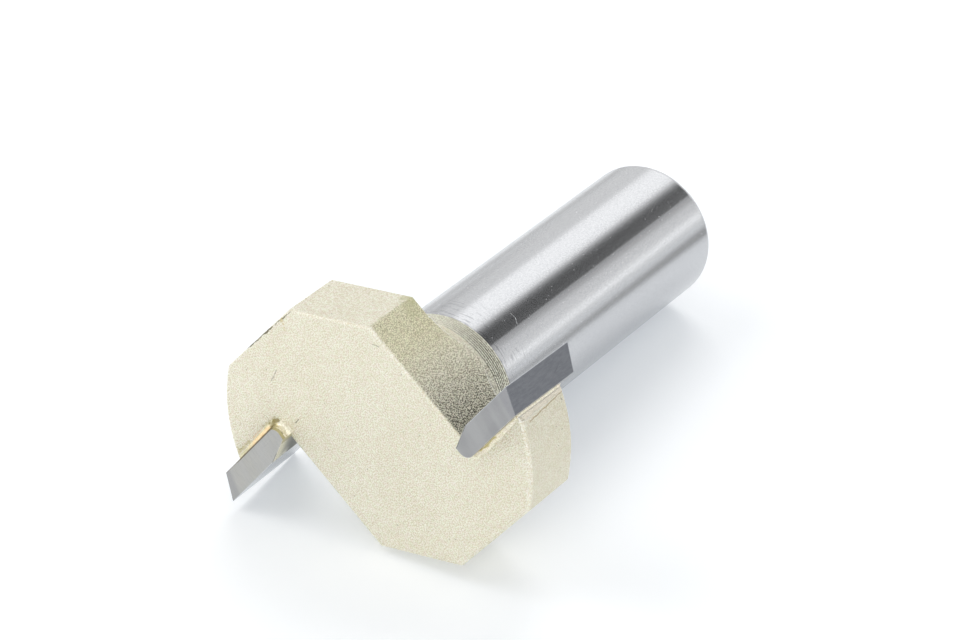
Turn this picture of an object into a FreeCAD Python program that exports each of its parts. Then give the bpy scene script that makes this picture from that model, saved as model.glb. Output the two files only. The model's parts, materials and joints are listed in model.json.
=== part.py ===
import FreeCAD, Part
import math
import os

# A T-slot router bit, lying on a table as it comes to rest.
# Lengths are in millimetres and angles in degrees.
# It is drawn upright in the tool's own frame, where Z is the turning axis, the flat front of the
# head is at Z = 0 and the shank runs towards +Z, and is laid down at the end.

# Shank and hub
shank_diameter = 12.7
shank_length = 39.8
shank_edge_radius = 0.7
hub_length = 4.45
hub_cone_angle = 15.0
hub_root_radius = 1.4

# Head
body_diameter = 29.3
body_thickness = 6.7
body_edge_radius = 0.25
gullet_floor_offset = 7.13
corner_flat_offset = 10.0
back_flat_offset = 12.53
land_edge_angle = 27.4
land_slope = 16.0

# Carbide plates
cutting_diameter = 31.75
hook_angle = 16.0
rake_turn = -2.25
shear_angle = 1.0
plate_thickness = 2.15
plate_width = 8.6
plate_clearance_lean = 32.6
plate_facet_length = 2.28
plate_facet_depth = 0.77
plate_end_lean = 6.0
plate_corner_radius = 0.75
front_overhang = 1.5
back_overhang = 1.4
dish_angle = 2.4
end_clearance_angle = 4.5

# Braze metal
braze_gap = 0.18
bead_leg_outer = 0.25
bead_leg_inner = 0.6

# Places worked out from the sizes above
shank_radius = shank_diameter / 2
body_radius = body_diameter / 2
cutting_radius = cutting_diameter / 2
shank_end = body_thickness + shank_length
plate_back = body_thickness + back_overhang
tip_angle = hook_angle + rake_turn
reach = cutting_diameter + shank_end

origin = FreeCAD.Vector(0, 0, 0)
across_axis = FreeCAD.Vector(1, 0, 0)
inward_axis = FreeCAD.Vector(0, 1, 0)
tool_axis = FreeCAD.Vector(0, 0, 1)


def point(x, y, z=0.0):
    return FreeCAD.Vector(x, y, z)


def cos(angle):
    return math.cos(math.radians(angle))


def sin(angle):
    return math.sin(math.radians(angle))


def tan(angle):
    return math.tan(math.radians(angle))


def turned(shape, angle):
    """A copy turned about the tool's axis."""
    copy = shape.copy()
    copy.rotate(origin, tool_axis, angle)
    return copy


# Shank and hub

def shank_and_hub():
    """The turned profile, from inside the head to the end of the shank."""
    base = body_thickness / 2
    cone_end = body_thickness + hub_length
    root_height = body_thickness + hub_root_radius
    cone_radius = shank_radius + (cone_end - root_height) * tan(hub_cone_angle)
    root_centre = point(cone_radius + hub_root_radius / cos(hub_cone_angle), 0, root_height)
    root_middle_angle = (hub_cone_angle + 90) / 2
    corner_centre = point(shank_radius - shank_edge_radius, 0, shank_end - shank_edge_radius)

    axis_start = point(0, 0, base)
    axis_end = point(0, 0, shank_end)
    base_rim = point(root_centre.x, 0, base)
    root_foot = point(root_centre.x, 0, body_thickness)
    root_middle = root_centre - radial(root_middle_angle) * hub_root_radius
    root_top = root_centre - radial(hub_cone_angle) * hub_root_radius
    cone_top = point(shank_radius, 0, cone_end)
    edge_start = corner_centre + radial(0) * shank_edge_radius
    edge_middle = corner_centre + radial(45) * shank_edge_radius
    edge_end = corner_centre + radial(90) * shank_edge_radius

    profile = Part.Wire(
        [
            Part.makeLine(axis_start, base_rim),
            Part.makeLine(base_rim, root_foot),
            Part.Arc(root_foot, root_middle, root_top).toShape(),
            Part.makeLine(root_top, cone_top),
            Part.makeLine(cone_top, edge_start),
            Part.Arc(edge_start, edge_middle, edge_end).toShape(),
            Part.makeLine(edge_end, axis_end),
            Part.makeLine(axis_end, axis_start),
        ]
    )
    return Part.Face(profile).revolve(origin, tool_axis, 360)


def radial(rise):
    """Unit vector in the turned profile's plane, at this angle above straight outwards."""
    return point(cos(rise), 0, sin(rise))


# Carbide plates

def in_plate_place(shape):
    """Takes a shape from the plate's own frame to its place on the head. In that frame the front
    cutting corner is at X = Y = 0, X runs outwards along the rake face and Y into the plate."""
    placed = shape.copy()
    placed.rotate(point(0, 0, -front_overhang), across_axis, -shear_angle)
    placed.rotate(origin, tool_axis, rake_turn)
    placed.translate(point(cutting_radius * cos(tip_angle), cutting_radius * sin(tip_angle)))
    return placed


def plate_section(grown_by=0.0):
    """The plate's section seen from the front: rake face, leaning flank, back, and an inner end
    with a rounded back corner and a long facet at the rake face."""
    end_inset = (plate_thickness - plate_facet_depth) * tan(plate_end_lean)
    tip = point(0, 0)
    flank_end = point(-plate_thickness * tan(plate_clearance_lean), plate_thickness)
    inner_corner = point(-plate_width, plate_thickness)
    facet_end = point(end_inset - plate_width, plate_facet_depth)
    facet_start = point(facet_end.x + plate_facet_length, 0)

    along_back = (flank_end - inner_corner).normalize()
    along_end = (facet_end - inner_corner).normalize()
    half_angle = along_back.getAngle(along_end) / 2
    setback = plate_corner_radius / math.tan(half_angle)
    bisector = (along_back + along_end).normalize()
    centre = inner_corner + bisector * (plate_corner_radius / math.sin(half_angle))
    arc_start = inner_corner + along_back * setback
    arc_middle = centre - bisector * plate_corner_radius
    arc_end = inner_corner + along_end * setback

    outline = Part.Wire(
        [
            Part.makeLine(tip, flank_end),
            Part.makeLine(flank_end, arc_start),
            Part.Arc(arc_start, arc_middle, arc_end).toShape(),
            Part.makeLine(arc_end, facet_end),
            Part.makeLine(facet_end, facet_start),
            Part.makeLine(facet_start, tip),
        ]
    )
    if grown_by > 0:
        outline = outline.makeOffset2D(grown_by)
    return Part.Face(outline)


def plate_prism(section):
    """A plate section drawn out well past both faces of the head."""
    prism = section.extrude(tool_axis * 2 * reach)
    prism.translate(tool_axis * -reach)
    return prism


def ground_away(height, side):
    """The space beyond a plate's end, which dips towards the middle of the head and away from the
    cutting edge. Side is 1 for the front end and -1 for the back end."""
    start = -reach if side > 0 else 0
    space = Part.makeBox(4 * reach, 4 * reach, reach, point(-2 * reach, -2 * reach, start))
    space.rotate(origin, inward_axis, side * dish_angle)
    space.rotate(origin, across_axis, side * end_clearance_angle)
    space.translate(tool_axis * height)
    return space


def carbide_plate():
    plate = plate_prism(plate_section())
    plate = plate.cut(ground_away(-front_overhang, 1))
    plate = plate.cut(ground_away(plate_back, -1))
    return in_plate_place(plate)


def plate_seat():
    """The milled slot that takes one plate and its braze."""
    return in_plate_place(plate_prism(plate_section(braze_gap)))


# Steel body

def beyond_flat(offset, angle):
    """All that lies further out than a flat at this offset from the axis, facing this way."""
    block = Part.makeBox(reach, 2 * reach, 2 * reach, point(offset, -reach, -reach))
    return turned(block, angle)


def gullet_space():
    """The open corner in front of a plate, from its flat floor to halfway through the plate."""
    wall = in_plate_place(plate_section()).BoundBox.Center.y
    return Part.makeBox(reach, reach + wall, 2 * reach, point(gullet_floor_offset, -reach, -reach))


def head_blank():
    """The two-lobed disc with its convex edges eased, before the plate seats are milled."""
    blank = Part.makeCylinder(body_radius, body_thickness)
    for side in (0, 180):
        blank = blank.cut(turned(gullet_space(), side))
        blank = blank.cut(beyond_flat(corner_flat_offset, side - 45))
        blank = blank.cut(beyond_flat(back_flat_offset, side - 90))
    wall = gullet_space().BoundBox.YMax
    eased = [
        edge
        for edge in blank.Edges
        if any(not math.isclose(abs(vertex.Point.y), wall) for vertex in edge.Vertexes)
    ]
    return blank.makeFillet(body_edge_radius, eased)


def milled_bar():
    """Shank, hub and head in one piece, before the plate seats are milled."""
    upper = shank_and_hub()
    head = head_blank()
    for side in (0, 180):
        upper = upper.cut(turned(gullet_space(), side))
    bar = head.fuse(upper)
    for side in (0, 180):
        bar = bar.cut(beyond_flat(body_radius * cos(land_slope), side + land_edge_angle - land_slope))
    return bar


def cutter_body():
    body = milled_bar()
    for side in (0, 180):
        body = body.cut(turned(plate_seat(), side))
    return body.removeSplitter()


# Braze metal

def fillet_section(corner, outward, rise, leg):
    """A hollow-faced fillet between plate and head, its root sunk into both."""
    sink = leg / 2
    on_plate = corner + rise * leg
    on_head = corner + outward * leg
    middle = corner + (outward + rise) * (leg * (1 - cos(45)))
    head_root = on_head - rise * sink
    deep_root = corner - (outward + rise) * sink
    plate_root = on_plate - outward * sink
    return Part.Wire(
        [
            Part.Arc(on_plate, middle, on_head).toShape(),
            Part.makeLine(on_head, head_root),
            Part.makeLine(head_root, deep_root),
            Part.makeLine(deep_root, plate_root),
            Part.makeLine(plate_root, on_plate),
        ]
    )


def braze_bead(height, rise):
    """The braze drawn up in the corner between a plate and one face of the head, thin along the
    plate's back and thick round its inner end."""
    back, corner, end = plate_section().OuterWire.OrderedEdges[1:4]
    path = Part.Wire([back, corner, end])
    path.translate(tool_axis * height)
    start = path.OrderedVertexes[0].Point
    before_finish = path.OrderedVertexes[-2].Point
    finish = path.OrderedVertexes[-1].Point
    end_outward = (finish - before_finish).normalize().cross(tool_axis)
    thin = fillet_section(start, inward_axis, rise, bead_leg_outer)
    thick = fillet_section(finish, end_outward, rise, bead_leg_inner)
    return in_plate_place(path.makePipeShell([thin, thick], True, False))


def braze_joint():
    """The metal between one plate and its seat, with the fillets drawn up on both faces."""
    bar = milled_bar()
    steel = bar.cut(plate_seat())
    rim = Part.makeCylinder(body_radius - body_edge_radius, 2 * reach, tool_axis * -reach)
    joint = bar.common(plate_seat())
    for height, rise in ((0, tool_axis * -1), (body_thickness, tool_axis)):
        joint = joint.fuse(braze_bead(height, rise).common(rim).cut(steel))
    return joint.cut(carbide_plate()).removeSplitter()


# Resting place

def floor_direction():
    """The way down, in the tool's frame, when the bit lies on a plate, on the gullet corner beyond
    it and on the rim of the shank's end. Each contact is the centre of the rounding that touches."""
    half_turn = FreeCAD.Rotation(tool_axis, 180)
    corner_x = gullet_floor_offset - body_edge_radius
    corner_y = corner_x - (corner_flat_offset - body_edge_radius) * math.sqrt(2)
    corner = half_turn.multVec(point(corner_x, corner_y, body_thickness - body_edge_radius))
    plate_end = in_plate_place(Part.Vertex(tool_axis * plate_back)).Point
    plate = half_turn.multVec(plate_end)
    rim_centre = tool_axis * (shank_end - shank_edge_radius)
    down = point(plate.x + corner.x, plate.y + corner.y).normalize()
    for _ in range(20):
        outwards = point(down.x, down.y).normalize()
        rim = rim_centre + outwards * (shank_radius - shank_edge_radius) + down * shank_edge_radius
        corner_touch = corner + down * body_edge_radius
        normal = (corner_touch - plate).cross(rim - plate).normalize()
        down = normal if normal.dot(outwards) > 0 else normal * -1
    return down


def laid_down(nodes):
    """The nodes on the table, shank along +Y, with the middle of their box above the origin."""
    up = floor_direction() * -1
    ahead = (tool_axis - up * tool_axis.dot(up)).normalize()
    across = ahead.cross(up)
    turn = FreeCAD.Matrix(
        across.x, across.y, across.z, 0, ahead.x, ahead.y, ahead.z, 0, up.x, up.y, up.z, 0, 0, 0, 0, 1
    )
    lying = {}
    for name, shape in nodes.items():
        lying[name] = shape.copy()
        lying[name].transformShape(turn)
    box = Part.Compound(list(lying.values())).optimalBoundingBox(False, False)
    for shape in lying.values():
        shape.translate(point(-box.Center.x, -box.Center.y, -box.ZMin))
    return lying


plate = carbide_plate()
braze = braze_joint()
lying = laid_down(
    {
        "cutter_body": cutter_body(),
        "carbide_tip_a": plate,
        "carbide_tip_b": turned(plate, 180),
        "braze_joint_a": braze,
        "braze_joint_b": turned(braze, 180),
    }
)
os.makedirs("parts", exist_ok=True)
for name, shape in lying.items():
    shape.exportStep(f"parts/{name}.step")
    print(name, "solids", len(shape.Solids), "volume", round(shape.Volume, 3))
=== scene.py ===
# %% [markdown]
# # A t-slot router bit on a white table
# The bit is one brazed tool: a turned steel body with a thin two-lobed head, two carbide plates in
# milled seats, and the braze metal that holds them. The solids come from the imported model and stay
# where they are. This lesson gives them their finishes, cuts the fine turned rings of the hub, makes
# the braze uneven as it is when it has run, and sets up the table, the lamps and the camera.

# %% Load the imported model
import json
import math

import bmesh
import bpy
from mathutils import Matrix, Quaternion, Vector

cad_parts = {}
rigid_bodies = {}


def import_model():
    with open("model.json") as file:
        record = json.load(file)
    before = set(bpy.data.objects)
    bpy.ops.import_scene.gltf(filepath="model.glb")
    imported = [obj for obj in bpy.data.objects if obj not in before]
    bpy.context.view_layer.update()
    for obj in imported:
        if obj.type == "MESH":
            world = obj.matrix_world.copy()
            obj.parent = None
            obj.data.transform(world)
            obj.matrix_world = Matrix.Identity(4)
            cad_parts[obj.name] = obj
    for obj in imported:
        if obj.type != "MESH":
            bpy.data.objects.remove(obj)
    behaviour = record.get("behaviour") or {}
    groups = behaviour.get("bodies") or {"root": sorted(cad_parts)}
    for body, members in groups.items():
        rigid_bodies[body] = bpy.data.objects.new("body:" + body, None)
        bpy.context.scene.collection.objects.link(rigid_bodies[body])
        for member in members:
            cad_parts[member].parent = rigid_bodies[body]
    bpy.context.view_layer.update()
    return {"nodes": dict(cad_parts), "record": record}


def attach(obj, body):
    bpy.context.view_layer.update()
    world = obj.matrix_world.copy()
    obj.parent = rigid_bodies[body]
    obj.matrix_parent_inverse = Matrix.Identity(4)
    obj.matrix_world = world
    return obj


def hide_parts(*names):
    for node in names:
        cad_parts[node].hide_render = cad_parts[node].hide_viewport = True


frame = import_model()
nodes = frame["nodes"]
print("nodes:", ", ".join(sorted(nodes)))

# %% [markdown]
# ## The tool's own directions
# Turned rings, the edge of the plating and the ground shank all follow the axis of the bit, which
# leans a few degrees because the head is wider than the shank. The mount that holds the shank names
# that axis. Everything below is measured from the middle of the head's front face, so a place is
# written as the toolmaker would: so far along the axis, so far out from it. The head is turned about
# the axis until it rests on one plate, and "across" is the direction of its two plates.

# %% The axis and the head's directions
MM = 0.001
shank_mount = next(m for m in frame["record"]["mounts"] if m["name"] == "shank")
along_axis = Vector(shank_mount["axis"]).normalized()
mount_distance = 28.475 * MM
front_centre = Vector(shank_mount["pos_m"]) - along_axis * mount_distance
head_turn = math.radians(52.19)
level_side = Vector((1, 0, 0))
lean_up = level_side.cross(along_axis)
across = level_side * math.cos(head_turn) + lean_up * math.sin(head_turn)
beside = level_side * math.sin(head_turn) - lean_up * math.cos(head_turn)
print("front centre, mm:", [round(v / MM, 2) for v in front_centre])
print("across:", [round(v, 3) for v in across])

# %% Sizes of the bit, in millimetres
SHANK_RADIUS = 6.35
HEAD_THICKNESS = 6.7
GULLET_FLOOR = 7.13
PLATING_END = 11.15
CONE_ANGLE = math.radians(15)
PLATE_TIP = (15.42, 3.773)
PLATE_TURN = math.radians(-2.25)
SHEAR_ANGLE = math.radians(1.0)
RINGS_START = 8.2
RING_PITCH = 0.36
print("rings:", round((PLATING_END - RINGS_START) / RING_PITCH), "at a pitch of", RING_PITCH, "mm")

# %% [markdown]
# ## The camera
# The photograph was taken with a long lens from the front right, a third of the way up to
# overhead, with the camera rolled by a little over a degree. The long lens keeps the shank from
# shrinking much towards its far end. Place and lens were found by matching the bit's corners.

# %% Helper: a new object in the scene
def new_object(name, data):
    thing = bpy.data.objects.new(name, data)
    bpy.context.scene.collection.objects.link(thing)
    return thing


# %% Camera
CAMERA_PLACE = Vector((146.81, -257.92, 203.62)) * MM
VIEW_TARGET = Vector((-4.73, 2.38, 6.79)) * MM
CAMERA_ROLL = math.radians(1.44)
camera_data = bpy.data.cameras.new("camera")
camera_data.sensor_width = 36
camera_data.lens = 155.64
camera_data.clip_start = 0.01
camera = new_object("camera", camera_data)
view_turn = (VIEW_TARGET - CAMERA_PLACE).to_track_quat("-Z", "Y")
camera.rotation_mode = "QUATERNION"
camera.rotation_quaternion = view_turn @ Quaternion((0, 0, 1), CAMERA_ROLL)
camera.location = CAMERA_PLACE
bpy.context.scene.camera = camera
bpy.context.scene.view_settings.view_transform = "Standard"
print("camera distance, mm:", round((VIEW_TARGET - CAMERA_PLACE).length / MM))

# %% [markdown]
# ## Helpers for node trees
# Shader trees and geometry trees are built the same way: add a node, set its unlinked sockets, link
# the rest. These few helpers keep each later cell about the finish and not about the wiring. A
# number given to a helper is set on the socket, and a socket given to it is linked.

# %% Helpers: one node, its sockets and its links
def place_node(tree, kind, inputs=None, **settings):
    """Adds a node, sets its settings first, and then sets or links its inputs."""
    node = tree.nodes.new(kind)
    for name, value in settings.items():
        setattr(node, name, value)
    for key, value in (inputs or {}).items():
        feed(tree, node.inputs[key], value)
    return node


def feed(tree, socket, value):
    if isinstance(value, bpy.types.NodeSocket):
        tree.links.new(value, socket)
    else:
        socket.default_value = value


# %% Helpers: sums with numbers and with vectors
def maths(tree, operation, first, second=None, third=None, clamp=False):
    node = place_node(tree, "ShaderNodeMath", operation=operation, use_clamp=clamp)
    for socket, value in zip(node.inputs, (first, second, third)):
        if value is not None:
            feed(tree, socket, value)
    return node.outputs[0]


def product(tree, first, *others):
    for other in others:
        first = maths(tree, "MULTIPLY", first, other)
    return first


def vector_maths(tree, operation, first, second=None, scale=None):
    node = place_node(tree, "ShaderNodeVectorMath", operation=operation)
    feed(tree, node.inputs[0], first)
    if second is not None:
        feed(tree, node.inputs[1], second)
    if scale is not None:
        feed(tree, node.inputs["Scale"], scale)
    return node.outputs["Value" if operation in ("DOT_PRODUCT", "LENGTH") else "Vector"]


# %% Helpers: fades, mixes and noise
def fade(tree, value, start, end, low=0.0, high=1.0):
    """Goes smoothly from low to high while value goes from start to end."""
    node = place_node(tree, "ShaderNodeMapRange", interpolation_type="SMOOTHSTEP", clamp=True)
    for socket, number in zip(node.inputs, (value, start, end, low, high)):
        feed(tree, socket, number)
    return node.outputs[0]


def mix_colour(tree, share, first, second, blend="MIX"):
    inputs = {0: share, 6: first, 7: second}
    node = place_node(tree, "ShaderNodeMix", inputs, data_type="RGBA", blend_type=blend, clamp_factor=True)
    return node.outputs[2]


def mix_value(tree, share, first, second):
    inputs = {0: share, 2: first, 3: second}
    return place_node(tree, "ShaderNodeMix", inputs, data_type="FLOAT", clamp_factor=True).outputs[0]


def noise(tree, vector, scale, detail=2.0, roughness=0.5):
    inputs = {"Vector": vector, "Scale": scale, "Detail": detail, "Roughness": roughness}
    return place_node(tree, "ShaderNodeTexNoise", inputs).outputs[0]


# %% Helper: a colour
def rgb(red, green, blue):
    """A colour given as a paint chart does, from 0 to 255, made linear for the nodes."""
    shares = [v / 255 for v in (red, green, blue)]
    linear = [s / 12.92 if s <= 0.04045 else ((s + 0.055) / 1.055) ** 2.4 for s in shares]
    return (*linear, 1.0)


print("half of 255 is", round(rgb(128, 128, 128)[0], 3), "in linear light")

# %% Helpers: start a node group, and use it
SOCKET_KINDS = {"value": "NodeSocketFloat", "colour": "NodeSocketColor", "vector": "NodeSocketVector"}


def start_group(name, inputs, outputs):
    """inputs are (name, kind, default), outputs are (name, kind)."""
    tree = bpy.data.node_groups.new(name, "ShaderNodeTree")
    for label, kind, default in inputs:
        socket = tree.interface.new_socket(label, in_out="INPUT", socket_type=SOCKET_KINDS[kind])
        socket.default_value = default
    for label, kind in outputs:
        tree.interface.new_socket(label, in_out="OUTPUT", socket_type=SOCKET_KINDS[kind])
    return tree, tree.nodes.new("NodeGroupInput").outputs, tree.nodes.new("NodeGroupOutput").inputs


def use_group(tree, group, values=None):
    return place_node(tree, "ShaderNodeGroup", node_tree=group, inputs=values).outputs


def report_nodes(owner):
    """owner is a node group, or a material or world with a node tree."""
    tree = getattr(owner, "node_tree", owner)
    print(owner.name, "has", len(tree.nodes), "nodes and", len(tree.links), "links")


# %% [markdown]
# ## Places on the tool, for the shaders
# A finish on a turned part is laid out by distance along the axis and by radius, and a braze stain
# by distance from the plate. One node group turns object coordinates into those measures, in
# millimetres. Both plates look alike after half a turn, so the group folds one half of the head onto
# the other and a single description serves both seats.

# %% Node group: places on the tool
places, _, ends = start_group(
    "places_on_the_tool",
    [],
    [
        ("Place", "vector"),
        ("Along", "value"),
        ("Radius", "value"),
        ("Plate reach", "value"),
        ("Behind rake", "value"),
        ("Side", "value"),
    ],
)
coordinates = place_node(places, "ShaderNodeTexCoord").outputs["Object"]
from_centre = vector_maths(places, "SUBTRACT", coordinates, front_centre[:])
in_mm = vector_maths(places, "SCALE", from_centre, scale=1 / MM)
x_place = vector_maths(places, "DOT_PRODUCT", in_mm, across[:])
y_place = vector_maths(places, "DOT_PRODUCT", in_mm, beside[:])
z_place = vector_maths(places, "DOT_PRODUCT", in_mm, along_axis[:])
whole = place_node(places, "ShaderNodeCombineXYZ", {0: x_place, 1: y_place, 2: z_place})
flat = place_node(places, "ShaderNodeCombineXYZ", {0: x_place, 1: y_place})
side = maths(places, "SIGN", x_place)
folded = vector_maths(places, "SCALE", flat.outputs[0], scale=side)
from_tip = vector_maths(places, "SUBTRACT", folded, (*PLATE_TIP, 0))
reach_way = (math.cos(PLATE_TURN), math.sin(PLATE_TURN), 0)
back_way = (-math.sin(PLATE_TURN), math.cos(PLATE_TURN), 0)
feed(places, ends["Place"], whole.outputs[0])
feed(places, ends["Along"], z_place)
feed(places, ends["Radius"], vector_maths(places, "LENGTH", flat.outputs[0]))
feed(places, ends["Plate reach"], vector_maths(places, "DOT_PRODUCT", from_tip, reach_way))
feed(places, ends["Behind rake"], vector_maths(places, "DOT_PRODUCT", from_tip, back_way))
feed(places, ends["Side"], side)
report_nodes(places)

# %% [markdown]
# ## Worn and rounded edges, with a painted highlight
# Blasting and handling leave the edges of the head a little smoother than its faces, and the materials
# paint them brighter, a painted highlight along with the wear. The Bevel node gives the normal that a
# slightly rounded edge would have. Where that differs from the real normal there is an edge, so the
# angle between the two makes a mask. A bevel in the mesh would do it too, but the imported solids stay
# as they are.

# %% Node group: edge wear and painted edge highlight
edge_wear_and_highlight, given, ends = start_group(
    "edge_wear_and_highlight",
    [("Width", "value", 0.0003), ("Start", "value", 0.01), ("End", "value", 0.12)],
    [("Mask", "value"), ("Rounded normal", "vector")],
)
rounded = place_node(edge_wear_and_highlight, "ShaderNodeBevel", {"Radius": given["Width"]}, samples=6)
plain = place_node(edge_wear_and_highlight, "ShaderNodeNewGeometry").outputs["Normal"]
agreement = vector_maths(edge_wear_and_highlight, "DOT_PRODUCT", rounded.outputs["Normal"], plain)
difference = maths(edge_wear_and_highlight, "SUBTRACT", 1.0, agreement)
feed(edge_wear_and_highlight, ends["Mask"], fade(edge_wear_and_highlight, difference, given["Start"], given["End"]))
feed(edge_wear_and_highlight, ends["Rounded normal"], rounded.outputs["Normal"])
report_nodes(edge_wear_and_highlight)

# %% [markdown]
# ## One small mark
# Stains, nicks and scratches sit at single places. They could be painted on a picture, but that needs
# the piece to be unwrapped. A mark is a soft ball of influence round a point on the tool, and noise
# breaks up its rim so that it doesn't look stamped.

# %% Node group: mark
mark, given, ends = start_group(
    "mark",
    [
        ("Place", "vector", (0, 0, 0)),
        ("Centre", "vector", (0, 0, 0)),
        ("Size", "value", 1.0),
        ("Raggedness", "value", 0.4),
    ],
    [("Mask", "value")],
)
offset = vector_maths(mark, "SUBTRACT", given["Place"], given["Centre"])
distance = vector_maths(mark, "LENGTH", offset)
ragged = maths(mark, "SUBTRACT", noise(mark, given["Place"], 2.6, 4.0, 0.65), 0.5)
in_sizes = maths(mark, "DIVIDE", distance, given["Size"])
shifted = maths(mark, "MULTIPLY_ADD", ragged, given["Raggedness"], in_sizes)
feed(mark, ends["Mask"], fade(mark, shifted, 1.0, 0.55))
report_nodes(mark)

# %% [markdown]
# ## One scratch
# A scratch, a crevice or the rim of a stain is a line between two points. The group finds the point
# of that line nearest to the place being shaded, and the distance to it makes the mask. Noise makes
# the distance waver, so the line thins, swells and breaks as a real one does.

# %% Node group: scratch
scratch, given, ends = start_group(
    "scratch",
    [
        ("Place", "vector", (0, 0, 0)),
        ("From", "vector", (0, 0, 0)),
        ("To", "vector", (1, 0, 0)),
        ("Width", "value", 0.1),
        ("Raggedness", "value", 0.8),
    ],
    [("Mask", "value")],
)
sway = place_node(scratch, "ShaderNodeTexNoise", {"Vector": given["Place"], "Scale": 1.7, "Detail": 2.0})
centred = vector_maths(scratch, "SUBTRACT", sway.outputs["Color"], (0.5, 0.5, 0.5))
sway_size = product(scratch, given["Raggedness"], given["Width"], 2.5)
sideways = vector_maths(scratch, "SCALE", centred, scale=sway_size)
swayed = vector_maths(scratch, "ADD", given["Place"], sideways)
offset = vector_maths(scratch, "SUBTRACT", swayed, given["From"])
line = vector_maths(scratch, "SUBTRACT", given["To"], given["From"])
way_along = vector_maths(scratch, "DOT_PRODUCT", offset, line)
line_squared = vector_maths(scratch, "DOT_PRODUCT", line, line)
portion = maths(scratch, "DIVIDE", way_along, line_squared, clamp=True)
nearest = vector_maths(scratch, "SCALE", line, scale=portion)
to_line = vector_maths(scratch, "SUBTRACT", offset, nearest)
distance = maths(scratch, "DIVIDE", vector_maths(scratch, "LENGTH", to_line), given["Width"])
ragged = maths(scratch, "SUBTRACT", noise(scratch, given["Place"], 3.4, 4.0, 0.7), 0.5)
shifted = maths(scratch, "MULTIPLY_ADD", ragged, given["Raggedness"], distance)
feed(scratch, ends["Mask"], fade(scratch, shifted, 1.0, 0.4))


def add_marks(tree, place, colour, marks):
    """Lays each mark's colour over the colour given. A mark with an end is a line."""
    for start, end, width, ragged, tint, strength in marks:
        if end is None:
            values = {"Place": place, "Centre": start, "Size": width, "Raggedness": ragged}
            mask = use_group(tree, mark, values)["Mask"]
        else:
            values = {"Place": place, "From": start, "To": end, "Width": width, "Raggedness": ragged}
            mask = use_group(tree, scratch, values)["Mask"]
        colour = mix_colour(tree, maths(tree, "MULTIPLY", mask, strength), colour, rgb(*tint))
    return colour


report_nodes(scratch)

# %% [markdown]
# ## The blasted plating
# Head and hub are bead blasted and then plated a pale champagne colour. Close up, the surface is a
# field of dimples about a fifth of a millimetre across. They catch light one by one, which makes
# the fine mottle. As faces they would run into millions, so fine noise raises the dimples in the
# shader and also tints them, and a slower noise keeps a large face from looking printed.

# %% Node group: blasted plating
plating, given, ends = start_group(
    "blasted_plating",
    [
        ("Light tone", "colour", rgb(255, 254, 241)),
        ("Dark tone", "colour", rgb(225, 216, 189)),
        ("Grain per mm", "value", 8.3),
        ("Grain depth", "value", 1.0),
    ],
    [("Colour", "colour"), ("Roughness", "value"), ("Height", "value")],
)
spots = use_group(plating, places)
grain = noise(plating, spots["Place"], given["Grain per mm"], 2.5, 0.6)
coarse = noise(plating, spots["Place"], 1.1, 3.0, 0.6)
cloud = noise(plating, spots["Place"], 0.16, 2.0, 0.5)
tone = fade(plating, grain, 0.42, 0.58)
tone = mix_value(plating, 0.14, tone, fade(plating, coarse, 0.3, 0.7))
tone = mix_value(plating, 0.08, tone, fade(plating, cloud, 0.35, 0.65))
cast = fade(plating, noise(plating, spots["Place"], 2.4, 3.0), 0.35, 0.65)
cast = mix_colour(plating, cast, rgb(255, 252, 253), rgb(253, 255, 251))
mottled = mix_colour(plating, tone, given["Dark tone"], given["Light tone"])
feed(plating, ends["Colour"], mix_colour(plating, 1.0, mottled, cast, blend="MULTIPLY"))
feed(plating, ends["Roughness"], fade(plating, coarse, 0.25, 0.75, 0.40, 0.32))
feed(plating, ends["Height"], maths(plating, "MULTIPLY", grain, given["Grain depth"]))
report_nodes(plating)

# %% [markdown]
# ## The heat stain in the gullets
# The torch was held at the plates, so the plating is darkest in front of them and clears towards the
# open end of the gullet and up the hub. The stain sits in the pits of the blasted surface, and the
# tops of the grains get painted glints, a light colour that stands in for light catching them. The
# grain's height splits the stain into dark pits and a light veil, and places the glints.
# The lower gullet can't be seen in the photograph, and is given a weaker stain.

# %% Node group: brazing heat
heat_stain, given, ends = start_group(
    "brazing_heat",
    [("Grain height", "value", 0.5)],
    [("Dark", "value"), ("Bright", "value"), ("Veil", "value")],
)
spots = use_group(heat_stain, places)
plate_ahead = fade(heat_stain, spots["Behind rake"], -9.0, -0.4)
at_plate = fade(heat_stain, spots["Behind rake"], 0.3, 0.1)
past_plate = fade(heat_stain, spots["Behind rake"], 3.0, 0.0)
behind_head = fade(heat_stain, spots["Along"], HEAD_THICKNESS, HEAD_THICKNESS + 0.5)
before_rake = mix_value(heat_stain, behind_head, at_plate, past_plate)
place_parts = place_node(heat_stain, "ShaderNodeSeparateXYZ", {0: spots["Place"]}).outputs
far_across = maths(heat_stain, "ABSOLUTE", place_parts["X"])
on_head = fade(heat_stain, far_across, GULLET_FLOOR - 0.18, GULLET_FLOOR - 0.05)
on_hub = fade(heat_stain, far_across, 2.5, 5.5)
at_head_back = fade(heat_stain, spots["Along"], HEAD_THICKNESS - 0.1, HEAD_THICKNESS + 0.05)
inner_limit = mix_value(heat_stain, at_head_back, on_head, on_hub)
outer_limit = fade(heat_stain, far_across, 7.5, 7.3)
behind_front = fade(heat_stain, spots["Along"], 0.1, 0.3)
up_the_hub = fade(heat_stain, spots["Along"], 13.0, 6.0)
lower_gullet = fade(heat_stain, spots["Side"], -0.5, 0.5, 0.3, 1.0)
in_width = product(heat_stain, before_rake, inner_limit, outer_limit)
in_gullet = product(heat_stain, in_width, behind_front, up_the_hub, lower_gullet)
heat = product(heat_stain, in_gullet, plate_ahead)
on_hub_start = fade(heat_stain, spots["Along"], 9.0, HEAD_THICKNESS + 0.1)
far_from_plate = fade(heat_stain, spots["Behind rake"], -4.0, -9.0, 0.3, 1.0)
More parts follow.
